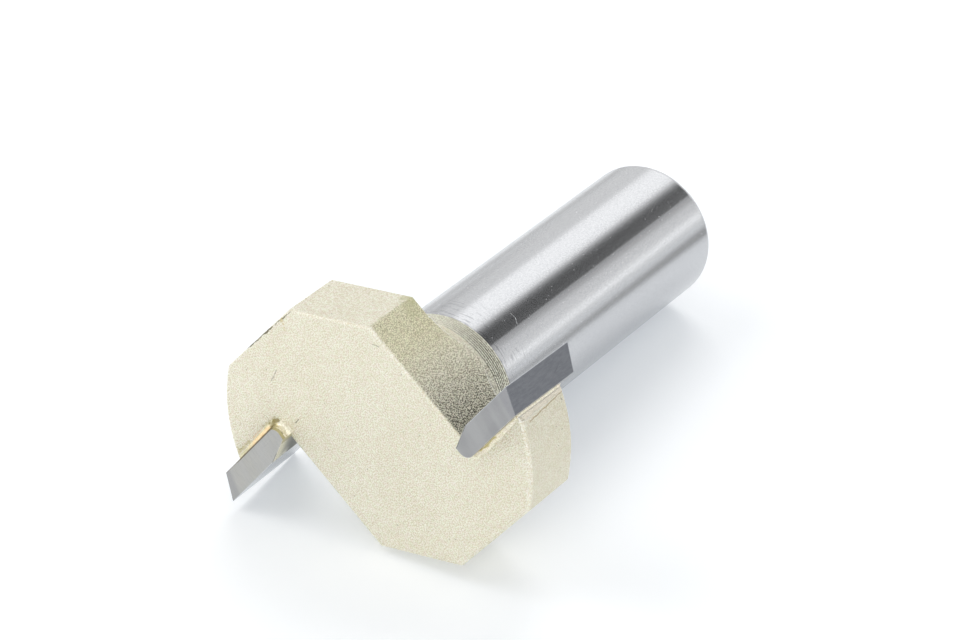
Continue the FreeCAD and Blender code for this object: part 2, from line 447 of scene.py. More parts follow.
feed(heat_stain, ends["Veil"], product(heat_stain, in_gullet, on_hub_start, far_from_plate))
pits = fade(heat_stain, given["Grain height"], 0.54, 0.42)
pit_share = maths(heat_stain, "MULTIPLY_ADD", pits, 0.74, 0.22)
feed(heat_stain, ends["Dark"], product(heat_stain, heat, pit_share))
# painted glints: the tops of the grains in the stained gullet are painted a light colour
tops = fade(heat_stain, given["Grain height"], 0.56, 0.64)
feed(heat_stain, ends["Bright"], product(heat_stain, heat, tops, 0.65))
report_nodes(heat_stain)

# %% [markdown]
# ## The ground shank
# The shank is ground to the collet's size. The wheel leaves hairlines that run round it, so the
# noise is drawn out round the axis and packed tight along it. Near the hub the lines are deeper,
# where the wheel ran out and where a collet has gripped. Far from the camera the steel is calmer.

# %% Node group: ground steel
ground, given, ends = start_group(
    "ground_steel",
    [("Tone", "colour", rgb(199, 200, 202)), ("Line depth", "value", 1.0)],
    [("Colour", "colour"), ("Roughness", "value"), ("Height", "value")],
)
spots = use_group(ground, places)
hairlines = noise(ground, vector_maths(ground, "MULTIPLY", spots["Place"], (0.35, 0.35, 14)), 1.0, 3.0, 0.6)
mottle = noise(ground, spots["Place"], 6.5, 3.0, 0.6)
run_out = fade(ground, spots["Along"], PLATING_END, PLATING_END + 5, 1.0, 0.0)
deep = noise(ground, vector_maths(ground, "MULTIPLY", spots["Place"], (0.8, 0.8, 5)), 1.0, 2.0, 0.5)
scored = maths(ground, "MULTIPLY", fade(ground, deep, 0.56, 0.66), run_out)
tinted = mix_colour(ground, fade(ground, mottle, 0.3, 0.7, 0.0, 0.28), given["Tone"], rgb(160, 163, 168))
scored_share = maths(ground, "MULTIPLY", scored, 0.35)
feed(ground, ends["Colour"], mix_colour(ground, scored_share, tinted, rgb(96, 98, 104)))
feed(ground, ends["Roughness"], fade(ground, mottle, 0.3, 0.7, 0.20, 0.25))
fine = maths(ground, "MULTIPLY_ADD", mottle, 0.35, maths(ground, "MULTIPLY", hairlines, 0.5))
lines = maths(ground, "MULTIPLY_ADD", scored, -1.2, fine)
feed(ground, ends["Height"], maths(ground, "MULTIPLY", lines, given["Line depth"]))
report_nodes(ground)

# %% [markdown]
# ## The body's finish
# One piece of steel carries both finishes. The plating was masked off at the end of the hub, so a
# sharp circle divides them: inside it the blasted plating, beyond it the bare ground steel. The
# material mixes the two groups by the distance along the axis. Heat from the brazing has left an
# olive and brown stain round the seats, and the rounded edges get a painted highlight with their wear.

# %% Helpers: start and end a material
def new_material(name):
    material = bpy.data.materials.new(name)
    material.use_nodes = True
    material.node_tree.nodes.clear()
    return material, material.node_tree


def finish_material(tree, colour, roughness, metallic, height, bump_distance, normal=None):
    bump = place_node(tree, "ShaderNodeBump", {"Distance": bump_distance, "Height": height, "Strength": 1.0})
    if normal is not None:
        tree.links.new(normal, bump.inputs["Normal"])
    surface = {"Base Color": colour, "Roughness": roughness, "Metallic": metallic, "Normal": bump.outputs[0]}
    shader = place_node(tree, "ShaderNodeBsdfPrincipled", surface)
    place_node(tree, "ShaderNodeOutputMaterial", {"Surface": shader.outputs[0]})


# %% Marks on the body, in millimetres
BODY_MARKS = [
    # start, end or None, width, raggedness, colour, strength
    ((-4.9, -12.55, 0.15), (-1.2, -12.42, 0.03), 0.13, 1.3, (96, 90, 62), 0.9),
    ((-8.3, -12.68, 0.0), (2.0, -12.3, 0.0), 0.05, 0.9, (140, 134, 104), 0.6),
    ((-1.2, -12.42, 0.03), (1.4, -12.33, 0.0), 0.10, 1.5, (120, 112, 74), 0.7),
    ((0.35, -12.2, 0.0), (0.0, -11.8, 0.0), 0.24, 2.5, (208, 188, 118), 0.6),
    ((-4.77, -9.21, 0.0), (-3.64, -9.54, 0.0), 0.07, 1.5, (150, 143, 116), 0.5),
    ((6.2, -5.85, 0.0), (6.5, -5.4, 0.0), 0.07, 1.5, (150, 142, 116), 0.6),
    ((-5.70, -5.27, 0.0), (-5.19, -5.34, 0.0), 0.08, 1.2, (122, 112, 84), 0.65),
    ((-8.9, -6.85, 0.0), (-7.2, -6.75, 0.0), 0.26, 1.3, (172, 160, 108), 0.45),
    ((-13.2, -6.7, 0.0), (-11.2, -6.65, 0.0), 0.24, 1.6, (200, 189, 136), 0.6),
    ((-10.4, -6.72, 0.0), (-8.9, -6.75, 0.0), 0.10, 2.0, (228, 188, 150), 0.5),
    ((12.84, 7.05, 1.2), (13.02, 6.72, 6.65), 0.075, 1.1, (170, 146, 104), 0.75),
    ((13.1, 6.35, 0.8), (13.1, 6.35, 6.7), 0.44, 0.5, (255, 246, 228), 0.85),
    ((10.6, 7.0, 0.0), (11.6, 6.8, 0.0), 0.26, 3.5, (216, 202, 178), 0.55),
    ((6.9, -7.15, 6.3), None, 0.8, 2.2, (192, 192, 140), 0.45),
    ((7.13, -6.4, 5.4), None, 1.2, 2.2, (190, 190, 146), 0.3),
]

# a bright arc that is scratched into the shank
ARC_SCRATCH = [(6.25, -1.14, 16.03), (6.33, -0.65, 16.1), (6.34, -0.1, 15.7)]
print("marks on the body:", len(BODY_MARKS), "and one arc")

# %% Material: body, where each finish is
body_finish, tree = new_material("plated_and_ground_steel")
spots = use_group(tree, places)
blasted = use_group(tree, plating)
steel = use_group(tree, ground)
bare = fade(tree, spots["Along"], PLATING_END - 0.03, PLATING_END + 0.01)
stain = use_group(tree, heat_stain, {"Grain height": blasted["Height"]})
worn_and_highlit_edges = use_group(tree, edge_wear_and_highlight, {"Width": 0.00018, "Start": 0.003, "End": 0.03})
plated = maths(tree, "SUBTRACT", 1.0, bare)
plated_edge = maths(tree, "MULTIPLY", worn_and_highlit_edges["Mask"], plated)
edge_highlight_breakup = fade(tree, noise(tree, spots["Place"], 1.9, 4.0, 0.7), 0.34, 0.44, 0.4, 1.0)
specks = fade(tree, noise(tree, spots["Place"], 3.0, 1.0, 0.5), 0.745, 0.79, 0.0, 0.5)
rim = product(tree, fade(tree, spots["Radius"], 14.3, 14.5), fade(tree, spots["Along"], 0.2, 0.5), 0.42)
report_nodes(body_finish)

# %% Material: body, its colour and relief
STAIN_TONE = rgb(70, 69, 60)
BLAST_DEPTH = 0.15 * MM
colour = mix_colour(tree, bare, blasted["Colour"], steel["Colour"])
colour = mix_colour(tree, stain["Veil"], colour, rgb(245, 244, 229), blend="MULTIPLY")
shaded_pits = maths(tree, "MULTIPLY", stain["Veil"], fade(tree, blasted["Height"], 0.56, 0.40, 0.0, 0.46))
colour = mix_colour(tree, shaded_pits, colour, rgb(128, 126, 98))
colour = mix_colour(tree, stain["Dark"], colour, STAIN_TONE)
# painted glints on the grain tops of the stain
colour = mix_colour(tree, stain["Bright"], colour, rgb(240, 236, 218))
colour = mix_colour(tree, rim, colour, rgb(208, 203, 182))
at_boundary = fade(tree, spots["Along"], PLATING_END + 0.14, PLATING_END + 0.04)
broken = fade(tree, noise(tree, spots["Place"], 0.9, 3.0), 0.42, 0.55)
colour = mix_colour(tree, product(tree, at_boundary, bare, broken, 0.7), colour, rgb(70, 68, 66))
arc = 0.0
for start, end in zip(ARC_SCRATCH, ARC_SCRATCH[1:]):
    values = {"Place": spots["Place"], "From": start, "To": end, "Width": 0.025}
    arc = maths(tree, "MAXIMUM", arc, use_group(tree, scratch, values)["Mask"])
dust = fade(tree, noise(tree, spots["Place"], 5.5, 1.0, 0.5), 0.745, 0.79, 0.0, 0.8)
bright_spots = maths(tree, "MULTIPLY", maths(tree, "MAXIMUM", arc, dust), bare)
colour = mix_colour(tree, bright_spots, colour, rgb(236, 238, 240))
colour = mix_colour(tree, maths(tree, "MULTIPLY", specks, plated), colour, rgb(112, 94, 60))
# painted highlight: the worn edges of the plating are painted near white, standing in for light on their
# rounding
painted_edge_highlight = maths(tree, "MULTIPLY", plated_edge, edge_highlight_breakup)
colour = mix_colour(tree, painted_edge_highlight, colour, rgb(255, 255, 250))
colour = add_marks(tree, spots["Place"], colour, BODY_MARKS)
roughness = mix_value(tree, bare, blasted["Roughness"], steel["Roughness"])
roughness = mix_value(tree, bright_spots, roughness, 0.75)
plated_height = mix_value(tree, maths(tree, "MULTIPLY", plated_edge, 0.7), blasted["Height"], 0.5)
height = mix_value(tree, bare, plated_height, maths(tree, "MULTIPLY", steel["Height"], 0.012))
finish_material(tree, colour, roughness, 1.0, height, BLAST_DEPTH, worn_and_highlit_edges["Rounded normal"])
nodes["cutter_body"].data.materials[0] = body_finish
report_nodes(body_finish)

# %% [markdown]
# ## The turned rings of the hub
# The lathe tool left about eight fine ridges where the hub narrows to the shank. They are real
# ridges that catch light, and each is the same shape at the same pitch, so they suit Geometry Nodes:
# a closed outline with a rippled outer edge is worked out from its point numbers, and swept round a
# circle. It makes a thin sleeve, standing proud of the cone by the thickness of the plating.

# %% Geometry Nodes: start and end a tree
SHARP_FROM = math.radians(50)


def start_geometry_tree(name, inputs):
    tree = bpy.data.node_groups.new(name, "GeometryNodeTree")
    tree.interface.new_socket("Geometry", in_out="INPUT", socket_type="NodeSocketGeometry")
    for label, default in inputs:
        socket = tree.interface.new_socket(label, in_out="INPUT", socket_type="NodeSocketFloat")
        socket.default_value = default
    tree.interface.new_socket("Geometry", in_out="OUTPUT", socket_type="NodeSocketGeometry")
    return tree, tree.nodes.new("NodeGroupInput").outputs, tree.nodes.new("NodeGroupOutput").inputs


def end_geometry_tree(tree, geometry, ends, material):
    real = place_node(tree, "GeometryNodeRealizeInstances", {"Geometry": geometry})
    smooth = place_node(tree, "GeometryNodeSetShadeSmooth", {"Geometry": real.outputs[0]})
    angle = place_node(tree, "GeometryNodeInputMeshEdgeAngle").outputs["Unsigned Angle"]
    corners = place_node(
        tree,
        "GeometryNodeSetShadeSmooth",
        {0: smooth.outputs[0], 1: maths(tree, "GREATER_THAN", angle, SHARP_FROM), 2: False},
        domain="EDGE",
    )
    values = {"Geometry": corners.outputs[0], "Material": material}
    painted = place_node(tree, "GeometryNodeSetMaterial", values)
    feed(tree, ends["Geometry"], painted.outputs[0])


# %% From a geometry tree to a plain mesh
def socket_key(tree, label):
    return next(s.identifier for s in tree.interface.items_tree if s.name == label and s.in_out == "INPUT")


def make_plain_mesh(name, start_mesh, tree, values):
    """Runs the tree on start_mesh and returns a new object with the result as its own mesh."""
    source = new_object(name + "_source", start_mesh)
    modifier = source.modifiers.new("nodes", "NODES")
    modifier.node_group = tree
    for label, value in values.items():
        modifier[socket_key(tree, label)] = value
    graph = bpy.context.evaluated_depsgraph_get()
    mesh = bpy.data.meshes.new_from_object(source.evaluated_get(graph))
    bpy.data.objects.remove(source)
    mesh.name = name
    return new_object(name, mesh)


# %% Is a piece a closed shell?
def report_shell(piece):
    """A closed shell has no open edges, and its volume is positive when its faces point outwards."""
    shell = bmesh.new()
    shell.from_mesh(piece.data)
    open_edges = sum(not edge.is_manifold for edge in shell.edges)
    volume = shell.calc_volume(signed=True)
    print(piece.name, "faces", len(shell.faces), "open edges", open_edges, "volume", f"{volume:.3g}")
    shell.free()


# %% Material: ring plating
RING_BLAST_DEPTH = 0.09 * MM
ring_finish, tree = new_material("ring_plating")
spots = use_group(tree, places)
hub_tones = {"Light tone": rgb(255, 255, 240), "Dark tone": rgb(204, 199, 176)}
blasted = use_group(tree, plating, hub_tones)
wavy = maths(tree, "MULTIPLY_ADD", noise(tree, spots["Place"], 1.3, 2.0), 0.12, spots["Along"])
turns = maths(tree, "DIVIDE", maths(tree, "SUBTRACT", PLATING_END + 0.06, wavy), RING_PITCH)
wave = maths(tree, "ABSOLUTE", maths(tree, "SINE", maths(tree, "MULTIPLY", turns, math.pi)))
beside_axis = place_node(tree, "ShaderNodeSeparateXYZ", {0: spots["Place"]}).outputs["Y"]
# painted light on the rings: the crests are painted lighter and the grooves darker, a painted highlight and
# painted shade, stronger on one side of the hub
strong = fade(tree, beside_axis, -6.0, 0.0, 0.2, 1.0)
dotted = fade(tree, blasted["Height"], 0.62, 0.46, 0.35, 1.0)
painted_groove_shade = product(tree, fade(tree, wave, 0.88, 0.5), strong, dotted, fade(tree, spots["Along"], 8.3, 8.8))
stain = use_group(tree, heat_stain, {"Grain height": blasted["Height"]})
ring_colour = mix_colour(tree, stain["Dark"], blasted["Colour"], STAIN_TONE)
high_grains = fade(tree, blasted["Height"], 0.42, 0.56, 0.0, 0.8)
painted_crest_highlight = product(tree, fade(tree, wave, 0.75, 0.95), high_grains, strong)
ring_colour = mix_colour(tree, painted_crest_highlight, ring_colour, rgb(255, 255, 236))
ring_colour = mix_colour(tree, painted_groove_shade, ring_colour, rgb(44, 42, 30))
finish_material(tree, ring_colour, blasted["Roughness"], 1.0, blasted["Height"], RING_BLAST_DEPTH)
report_nodes(ring_finish)

# %% The ring tree: heights along the outline
OUTLINE_POINTS = 80
OUTER_POINTS = 76
ring_tree, given, ends = start_geometry_tree(
    "turned_rings",
    [
        ("Start", 9.0),
        ("End", 11.15),
        ("Start radius", 6.9),
        ("End radius", 6.35),
        ("Pitch", RING_PITCH),
        ("Ridge height", 0.045),
        ("Standing", 0.01),
        ("Wall", 0.12),
    ],
)
index = place_node(ring_tree, "GeometryNodeInputIndex").outputs[0]
outer_share = maths(ring_tree, "DIVIDE", index, OUTER_POINTS - 1.0)
from_last = maths(ring_tree, "SUBTRACT", OUTLINE_POINTS - 1.0, index)
inner_share = maths(ring_tree, "DIVIDE", from_last, OUTLINE_POINTS - OUTER_POINTS - 1.0)
is_inner = maths(ring_tree, "GREATER_THAN", index, OUTER_POINTS - 0.5)
portion = mix_value(ring_tree, is_inner, outer_share, inner_share)
length = maths(ring_tree, "SUBTRACT", given["End"], given["Start"])
station = maths(ring_tree, "MULTIPLY_ADD", portion, length, given["Start"])
cone_drop = maths(ring_tree, "SUBTRACT", given["End radius"], given["Start radius"])
cone = maths(ring_tree, "MULTIPLY_ADD", portion, cone_drop, given["Start radius"])
turns = maths(ring_tree, "DIVIDE", maths(ring_tree, "SUBTRACT", given["End"], station), given["Pitch"])
wave = maths(ring_tree, "ABSOLUTE", maths(ring_tree, "SINE", maths(ring_tree, "MULTIPLY", turns, math.pi)))
ridge = maths(ring_tree, "MULTIPLY_ADD", wave, given["Ridge height"], given["Standing"])
faded = maths(ring_tree, "MULTIPLY", ridge, fade(ring_tree, portion, 0.0, 0.25, -1.0, 1.0))
lift = mix_value(ring_tree, is_inner, faded, maths(ring_tree, "MULTIPLY", given["Wall"], -1.0))
ring_radius = maths(ring_tree, "ADD", cone, lift)
report_nodes(ring_tree)

# %% The ring tree: the outline swept round
STEPS_ROUND = 180
PATH_RADIUS = 0.0001
outline = place_node(ring_tree, "GeometryNodeCurvePrimitiveCircle", {"Resolution": OUTLINE_POINTS})
down_the_path = maths(ring_tree, "MULTIPLY", station, -1.0)
outline_place = place_node(ring_tree, "ShaderNodeCombineXYZ", {0: ring_radius, 1: down_the_path})
section = place_node(
    ring_tree,
    "GeometryNodeSetPosition",
    {"Geometry": outline.outputs[0], "Position": outline_place.outputs[0]},
)
path_inputs = {"Resolution": STEPS_ROUND, "Radius": PATH_RADIUS}
round_path = place_node(ring_tree, "GeometryNodeCurvePrimitiveCircle", path_inputs)
sleeve = place_node(
    ring_tree,
    "GeometryNodeCurveToMesh",
    {"Curve": round_path.outputs[0], "Profile Curve": section.outputs[0]},
)
faced_out = place_node(ring_tree, "GeometryNodeFlipFaces", {0: sleeve.outputs[0]})
end_geometry_tree(ring_tree, faced_out.outputs[0], ends, ring_finish)
report_nodes(ring_tree)

# %% The rings, set on the bit's axis
rings = make_plain_mesh(
    "turned_rings",
    bpy.data.meshes.new("rings_start"),
    ring_tree,
    {
        "Start": RINGS_START,
        "Start radius": SHANK_RADIUS + (PLATING_END - RINGS_START) * math.tan(CONE_ANGLE),
        "End": PLATING_END,
        "End radius": SHANK_RADIUS,
    },
)
tool_turn = Matrix((across, beside, along_axis)).transposed()
tool_placement = Matrix.Translation(front_centre) @ tool_turn.to_4x4() @ Matrix.Scale(MM, 4)
swept = [v.co.z for v in rings.data.vertices]
print("rings run along the axis, mm:", round(min(swept), 3), "to", round(max(swept), 3))
print("largest radius, mm:", round(max(v.co.xy.length for v in rings.data.vertices), 3))
rings.data.transform(tool_placement)
report_shell(rings)
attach(rings, "root")

# %% [markdown]
# ## Carbide
# The plates are sintered carbide, ground with fine diamond wheels. Carbide is a dull grey metal
# with an even, very fine grain. Each ground face shows faint parallel lines, and its sharp edges
# are painted a lighter grey, a painted highlight. The noise is packed tight along the plate's length
# to make the lines. The rake faces, which do the cutting, are polished, and their grey is painted
# lighter as well, which stands in for the light they reflect. The small facet inside is plated over.
# Flux has left a dark line where the second plate meets its braze.

# %% Where the flank and the facet of a plate are, in its own plane
FLANK_WAY = (0.843, 0.539, 0)
FACET_WAY = (-0.320, -0.947, 0)
FACET_START = (-6.175, 0, 0)
GRINDING_DEPTH = 0.002 * MM
print("flank faces", FLANK_WAY[:2], "and the facet", FACET_WAY[:2])

# %% Material: carbide, its ground faces
carbide_finish, tree = new_material("ground_carbide")
spots = use_group(tree, places)
plate_place = place_node(tree, "ShaderNodeCombineXYZ", {0: spots["Plate reach"], 1: spots["Behind rake"]})
wheel_lines = noise(tree, vector_maths(tree, "MULTIPLY", spots["Place"], (9, 1.2, 1.2)), 1.0, 2.0, 0.6)
powder = noise(tree, spots["Place"], 22.0, 2.0, 0.6)
patches = noise(tree, spots["Place"], 0.5, 2.0, 0.5)
edge = use_group(tree, edge_wear_and_highlight, {"Width": 0.00012})["Mask"]
slanted = maths(tree, "MULTIPLY_ADD", spots["Behind rake"], 0.35, spots["Plate reach"])
streaks = noise(tree, place_node(tree, "ShaderNodeCombineXYZ", {0: slanted}).outputs[0], 0.45, 2.0, 0.5)
grey = mix_colour(tree, fade(tree, patches, 0.3, 0.7), rgb(152, 152, 153), rgb(162, 162, 162))
second_plate = fade(tree, spots["Side"], 0.5, -0.5)
grey = mix_colour(tree, second_plate, grey, rgb(178, 177, 172))
grey = mix_colour(tree, fade(tree, wheel_lines, 0.35, 0.65, 0.0, 0.25), grey, rgb(150, 150, 152))
grey = mix_colour(tree, fade(tree, streaks, 0.4, 0.6, 0.0, 0.4), grey, rgb(178, 178, 178))
grey = mix_colour(tree, fade(tree, slanted, -1.3, -0.9, 0.0, 0.5), grey, rgb(150, 150, 154))
out_of_flank = vector_maths(tree, "DOT_PRODUCT", plate_place.outputs[0], FLANK_WAY)
flank = fade(tree, out_of_flank, -0.04, -0.01)
flank_tone = mix_colour(tree, fade(tree, wheel_lines, 0.3, 0.7), rgb(119, 121, 125), rgb(109, 111, 116))
grey = mix_colour(tree, flank, grey, flank_tone)
off_rake = maths(tree, "MULTIPLY_ADD", spots["Along"], -math.tan(SHEAR_ANGLE), spots["Behind rake"])
rake = fade(tree, off_rake, 0.08, 0.04)
# painted light: the polished rake faces are painted a lighter grey
grey = mix_colour(tree, rake, grey, rgb(196, 198, 202))
off_facet = vector_maths(tree, "SUBTRACT", plate_place.outputs[0], FACET_START)
facet = fade(tree, vector_maths(tree, "DOT_PRODUCT", off_facet, FACET_WAY), -0.05, -0.01)
plated_end = mix_colour(tree, fade(tree, powder, 0.35, 0.65), rgb(216, 214, 194), rgb(250, 247, 232))
grey = mix_colour(tree, facet, grey, plated_end)
facet_rim = fade(tree, vector_maths(tree, "DOT_PRODUCT", off_facet, FACET_WAY), -0.10, -0.06)
off_the_facet = maths(tree, "SUBTRACT", 1.0, facet)
facet_rim = product(tree, facet_rim, off_the_facet, fade(tree, patches, 0.4, 0.55))
grey = mix_colour(tree, facet_rim, grey, rgb(92, 92, 84))
# painted highlight: the sharp edges of the plates are painted a lighter grey
grey = mix_colour(tree, maths(tree, "MULTIPLY", edge, 0.35), grey, rgb(205, 206, 208))
report_nodes(carbide_finish)

# %% Material: carbide, its stains and relief
dished = maths(tree, "MULTIPLY_ADD", spots["Plate reach"], 0.04, spots["Along"])
front_slope = maths(tree, "MULTIPLY_ADD", spots["Behind rake"], -0.06, dished)
proud_side = product(tree, fade(tree, front_slope, -1.47, -1.42), fade(tree, spots["Along"], 1.2, 1.0))
long_side = fade(tree, spots["Behind rake"], 2.09, 2.13)
inner_end = fade(tree, spots["Plate reach"], -7.9, -8.1)
seat_side = maths(tree, "MAXIMUM", long_side, inner_end)
tarnish = product(tree, proud_side, seat_side, second_plate, 0.85)
from_end = fade(tree, spots["Plate reach"], -8.2, -7.8)
tarnish_tone = mix_colour(tree, from_end, rgb(198, 191, 150), rgb(104, 86, 52))
grey = mix_colour(tree, tarnish, grey, tarnish_tone)
seat_edge = maths(tree, "MULTIPLY", fade(tree, spots["Behind rake"], 2.03, 2.09), second_plate)
by_the_bead = fade(tree, spots["Plate reach"], -2.6, -3.6, 0.25, 0.8)
grey = mix_colour(tree, maths(tree, "MULTIPLY", seat_edge, by_the_bead), grey, rgb(92, 78, 48))
flank_mark = ((14.9, 4.83, 6.25), (14.62, 5.27, 5.3), 0.06, 2.0, (92, 94, 99), 0.6)
grey = add_marks(tree, spots["Place"], grey, [flank_mark])
dullness = mix_value(tree, facet, fade(tree, powder, 0.3, 0.7, 0.27, 0.34), 0.6)
dullness = mix_value(tree, rake, dullness, 0.24)
metal_share = mix_value(tree, facet, 1.0, 0.3)
relief = maths(tree, "MULTIPLY_ADD", powder, 0.4, maths(tree, "MULTIPLY", wheel_lines, 0.6))
finish_material(tree, grey, dullness, metal_share, relief, GRINDING_DEPTH)
for name in ("carbide_tip_a", "carbide_tip_b"):
    nodes[name].data.materials[0] = carbide_finish

# %% [markdown]
# ## Braze metal
# The braze was drawn into the joint when it was molten and froze in an uneven fillet: golden where
# it is clean, olive and brown where flux and heat have stained it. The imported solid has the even
# fillet. Its copy is made finer and pushed out and in along its own normals by noise, which is a
# rule over a surface, so that is a geometry tree as well. Inside the joint nothing moves.

# %% Material: braze
BRAZE_DEPTH = 0.01 * MM
BRAZE_MARKS = [
    # the same columns as in BODY_MARKS
    ((8.1, 6.3, -0.3), (10.2, 6.2, -0.3), 0.22, 1.2, (192, 180, 116), 0.75),
    ((-7.75, -6.5, -0.15), (-6.95, -6.55, -0.15), 0.38, 1.3, (132, 118, 66), 0.8),
    ((-6.85, -6.35, -0.4), (-6.6, -4.9, -0.4), 0.16, 1.6, (196, 188, 148), 0.6),
]
braze_finish, tree = new_material("run_braze")
spots = use_group(tree, places)
flow = noise(tree, spots["Place"], 1.6, 3.0, 0.6)
speckle = noise(tree, spots["Place"], 7.0, 3.0, 0.6)
gold = mix_colour(tree, fade(tree, speckle, 0.35, 0.65), rgb(255, 236, 196), rgb(244, 212, 162))
olive = mix_colour(tree, fade(tree, speckle, 0.35, 0.65), rgb(232, 226, 196), rgb(206, 198, 158))
bead_tones = {"Light tone": rgb(250, 246, 230), "Dark tone": rgb(216, 209, 186)}
plated_over = use_group(tree, plating, bead_tones)["Colour"]
round_the_end = fade(tree, spots["Plate reach"], -8.25, -8.55)
plated_end = maths(tree, "MULTIPLY", round_the_end, 0.9)
covered = maths(tree, "MAXIMUM", fade(tree, spots["Side"], -0.5, 0.5), plated_end)
olive = mix_colour(tree, covered, olive, plated_over)
clean = product(
    tree,
    fade(tree, spots["Plate reach"], -7.9, -7.2),
    fade(tree, spots["Plate reach"], -3.4, -5.2),
    fade(tree, spots["Side"], 0.5, -0.5, 0.12, 1.0),
    fade(tree, flow, 0.36, 0.5, 0.55, 1.0),
    fade(tree, spots["Behind rake"], 2.62, 2.48, 0.1, 1.0),
)
stained = mix_colour(tree, clean, olive, gold)
in_crevice = fade(tree, spots["Behind rake"], 2.32, 2.22)
beside_plate = fade(tree, spots["Plate reach"], -8.4, -7.8)
crevice_depth = fade(tree, spots["Side"], 0.5, -0.5, 0.05, 0.9)
crevice = product(tree, in_crevice, beside_plate, crevice_depth)
stained = mix_colour(tree, crevice, stained, rgb(84, 66, 38))
stained = add_marks(tree, spots["Place"], stained, BRAZE_MARKS)
dullness = fade(tree, flow, 0.4, 0.62, 0.28, 0.5)
finish_material(tree, stained, dullness, 1.0, speckle, BRAZE_DEPTH)
report_nodes(braze_finish)

# %% The braze tree
PUSH_SCALE = 5 * MM
EVEN_NOISE = 0.42
braze_tree, given, ends = start_geometry_tree(
    "uneven_braze",
    [("Lump height", 0.05), ("Lumps per mm", 1.6), ("Front face", 0.0), ("Back face", HEAD_THICKNESS)],
)
finer = place_node(braze_tree, "GeometryNodeSubdivideMesh", {"Mesh": given["Geometry"], "Level": 1})
where = place_node(braze_tree, "GeometryNodeInputPosition").outputs[0]
outward = place_node(braze_tree, "GeometryNodeInputNormal").outputs[0]
from_front = vector_maths(braze_tree, "SUBTRACT", where, front_centre[:])
in_mm = vector_maths(braze_tree, "SCALE", from_front, scale=1 / MM)
station = vector_maths(braze_tree, "DOT_PRODUCT", in_mm, along_axis[:])
before_front = maths(braze_tree, "SUBTRACT", given["Front face"], 0.1)
behind_back = maths(braze_tree, "ADD", given["Back face"], 0.1)
proud_front = fade(braze_tree, station, given["Front face"], before_front)
proud_back = fade(braze_tree, station, given["Back face"], behind_back)
proud = maths(braze_tree, "ADD", proud_front, proud_back)
lumps = maths(braze_tree, "SUBTRACT", noise(braze_tree, in_mm, given["Lumps per mm"]), EVEN_NOISE)
push = product(braze_tree, lumps, proud, given["Lump height"], PUSH_SCALE)
pushed = vector_maths(braze_tree, "SCALE", outward, scale=push)
moved = place_node(braze_tree, "GeometryNodeSetPosition", {"Geometry": finer.outputs[0], "Offset": pushed})
end_geometry_tree(braze_tree, moved.outputs[0], ends, braze_finish)
report_nodes(braze_tree)

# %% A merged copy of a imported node, to start from
SEWN_WITHIN = 0.002 * MM


def merged_copy(node_name):
    """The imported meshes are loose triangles, so a copy is sewn together before it is changed."""
    mesh = bpy.data.meshes.new(node_name + "_copy")
    sewn = bmesh.new()
    sewn.from_mesh(nodes[node_name].data)
    bmesh.ops.remove_doubles(sewn, verts=sewn.verts, dist=SEWN_WITHIN)
    sewn.to_mesh(mesh)
    sewn.free()
    return mesh


for letter in "ab":
    bead = make_plain_mesh("run_braze_" + letter, merged_copy("braze_joint_" + letter), braze_tree, {})
    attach(bead, "root")
    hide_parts("braze_joint_" + letter)
    report_shell(bead)

# %% [markdown]
# ## The table
# The bit lies on a white sweep. The sheet takes the bit's soft shadow, and shows white to the camera
# and in the metal. So it is an ordinary matt white that also gives off a little light of its own, for
# camera, glossy and transmission rays only, which lifts it to white and leaves the shadow in place.
# The glow is a little blue, so that what is left in the shadow is cooler than the lit paper.

# %% Helpers: a mask for direct sight, and a flat sheet
def seen_directly(tree):
    """Is 1 for camera, glossy and transmission rays, and 0 for those that light matt surfaces."""
    path = place_node(tree, "ShaderNodeLightPath").outputs
    seen = maths(tree, "MAXIMUM", path["Is Camera Ray"], path["Is Glossy Ray"])
    return maths(tree, "MAXIMUM", seen, path["Is Transmission Ray"])


def flat_sheet(name, width, height, material):
    """One level rectangle with its middle at the origin."""
    x, y = width / 2, height / 2
    mesh = bpy.data.meshes.new(name)
    mesh.from_pydata([(-x, -y, 0), (x, -y, 0), (x, y, 0), (-x, y, 0)], [], [(0, 1, 2, 3)])
    mesh.materials.append(material)
    return new_object(name, mesh)


# %% Table and its paper
TABLE_SIDE = 6.0
PAPER_GLOW = 0.32
paper, tree = new_material("white_paper")
glow_strength = maths(tree, "MULTIPLY", seen_directly(tree), PAPER_GLOW)
paper_grain = noise(tree, place_node(tree, "ShaderNodeTexCoord").outputs["Object"], 900.0, 3.0)
paper_tone = mix_colour(tree, paper_grain, rgb(230, 230, 230), rgb(232, 232, 232))
matt = place_node(tree, "ShaderNodeBsdfDiffuse", {"Color": paper_tone})
glow = place_node(tree, "ShaderNodeEmission", {"Color": (0.86, 0.93, 1.0, 1.0), "Strength": glow_strength})
both = place_node(tree, "ShaderNodeAddShader", {0: matt.outputs[0], 1: glow.outputs[0]})
place_node(tree, "ShaderNodeOutputMaterial", {"Surface": both.outputs[0]})
table = flat_sheet("table", TABLE_SIDE, TABLE_SIDE, paper)
print("table:", TABLE_SIDE, "m square, at height", table.location.z)

# %% [markdown]
# ## Light for polished metal
# Metal shows what is round it, so its light is built as reflections in a studio that is white on all
# sides. A soft box behind the bit makes the broad bright band on the shank, and one at the left lights
# the near edges. Reflection cards do the rest. A black flag beside the back box makes the dark band,
# and darkens the gullet floor, which faces the same way. A low strip and a low flag at the right make
# the thin streak and the grey line under it. Grey cards at the left hold back the top facet and the
# left rim of the shank, and a bright card on the camera's side lifts the faces that look back at it.
# Only reflections see the cards, so they put no shadow on the table. The table lights are the other
# way round: no reflection shows them, and they lay the soft shadow.

